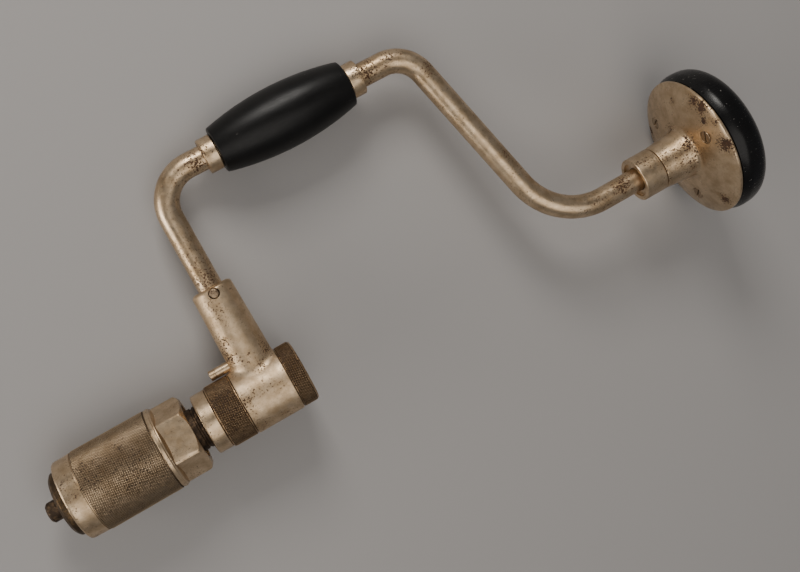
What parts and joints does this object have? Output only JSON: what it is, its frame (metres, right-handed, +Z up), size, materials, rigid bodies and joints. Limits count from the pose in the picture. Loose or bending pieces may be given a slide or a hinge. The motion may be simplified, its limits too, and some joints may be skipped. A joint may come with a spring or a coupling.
{
  "type": "ratchet bit brace",
  "caption": "Carpenter's crank brace: domed pad head, barrel sweep handle, enclosed ring ratchet and knurled shell chuck with a hexagonal wrench nut.",
  "frame": {"origin": "centre of the bounding box's underside, on the table that the tool lies on", "axes": "+X along the tool from the chuck to the head, +Y from the main axis towards the sweep handle, +Z up from the table; the tool's own axis is pitched 2.98 degrees nose down and the crank is rolled 6.8 degrees, so that head, handle and chuck all touch the table"},
  "size_m": [0.3548, 0.1506, 0.0707],
  "materials": {
    "nickel_plate": "worn nickel plate on steel, warm grey, with rust pits",
    "dark_steel": "oiled steel gone dark brown",
    "bare_steel": "machined and hardened, unplated",
    "spring_steel": "tempered spring steel",
    "head_composition": "polished black composition",
    "handle_composition": "semi-gloss black composition"
  },
  "bodies": {
    "frame": {"frame_crank": "nickel_plate", "frame_collar": "nickel_plate", "handle_collar_lower": "nickel_plate", "handle_collar_upper": "nickel_plate", "ratchet_housing": "nickel_plate", "frame_rivet": "nickel_plate", "ratchet_cap": "nickel_plate", "pawl_pin": "bare_steel", "detent_ball": "bare_steel", "detent_spring": "spring_steel", "head_nut": "bare_steel", "head_washer": "bare_steel"},
    "head": {"head_plate": "nickel_plate", "head_knob": "head_composition", "head_screw_1": "dark_steel", "head_screw_2": "dark_steel", "head_screw_3": "dark_steel", "head_bearing": "bare_steel"},
    "handle": {"sweep_handle": "handle_composition"},
    "spindle": {"chuck_spindle": "dark_steel", "spindle_collar": "nickel_plate", "ratchet_wheel": "bare_steel", "thrust_washer": "bare_steel", "jaw_spring": "spring_steel"},
    "selector": {"selector_ring": "nickel_plate", "selector_cam": "bare_steel"},
    "pawl_drive": {"pawl_drive": "bare_steel", "pawl_spring": "spring_steel"},
    "pawl_reverse": {"pawl_reverse": "bare_steel"},
    "cone": {"cone_ring": "dark_steel", "chuck_bearing": "bare_steel"},
    "shell": {"chuck_shell": "nickel_plate", "wrench_nut": "nickel_plate"},
    "jaw_near": {"jaw_near": "dark_steel"},
    "jaw_far": {"jaw_far": "dark_steel"}
  },
  "joints": [
    {"name": "head_spin", "type": "hinge", "parent": "frame", "child": "head", "pos_m": [0.15091, -0.03989, 0.03475], "axis": [0.9986, 0, 0.052], "continuous": true},
    {"name": "handle_spin", "type": "hinge", "parent": "frame", "child": "handle", "pos_m": [-0.00907, 0.06101, 0.01446], "axis": [0.9986, 0, 0.052], "continuous": true},
    {"name": "spindle_spin", "type": "hinge", "parent": "frame", "child": "spindle", "pos_m": [-0.07286, -0.03989, 0.02309], "axis": [0.9986, 0, 0.052], "continuous": true},
    {"name": "selector_turn", "type": "hinge", "parent": "frame", "child": "selector", "pos_m": [-0.07286, -0.03989, 0.02309], "axis": [0.9986, 0, 0.052], "range_deg": [-15, 15]},
    {"name": "pawl_drive_rock", "type": "hinge", "parent": "frame", "child": "pawl_drive", "pos_m": [-0.07275, -0.02261, 0.02105], "axis": [0.9986, 0, 0.052], "range_deg": [-5.4, 5.4]},
    {"name": "pawl_reverse_rock", "type": "hinge", "parent": "frame", "child": "pawl_reverse", "pos_m": [-0.07275, -0.02261, 0.02105], "axis": [0.9986, 0, 0.052], "range_deg": [-5.4, 5.4]},
    {"name": "cone_slide", "type": "slide", "parent": "spindle", "child": "cone", "axis": [-0.9986, 0, -0.052], "range_m": [0, 0.00508]},
    {"name": "shell_turn", "type": "hinge", "parent": "cone", "child": "shell", "pos_m": [-0.16653, -0.03989, 0.01822], "axis": [-0.9986, 0, -0.052], "range_deg": [0, 720]},
    {"name": "jaw_near_slide", "type": "slide", "parent": "spindle", "child": "jaw_near", "axis": [-0.0516, 0.1175, 0.9917], "range_m": [0, 0.00178]},
    {"name": "jaw_far_slide", "type": "slide", "parent": "spindle", "child": "jaw_far", "axis": [0.0516, -0.1175, -0.9917], "range_m": [0, 0.00178]}
  ],
  "couplings": [
    {"joint": "pawl_drive_rock", "follows": "selector_turn", "ratio": -0.36},
    {"joint": "pawl_reverse_rock", "follows": "selector_turn", "ratio": -0.36},
    {"joint": "cone_slide", "follows": "shell_turn", "m_per_rad": 0.00040425},
    {"joint": "jaw_near_slide", "follows": "shell_turn", "m_per_rad": 0.00014149},
    {"joint": "jaw_far_slide", "follows": "shell_turn", "m_per_rad": 0.00014149}
  ]
}
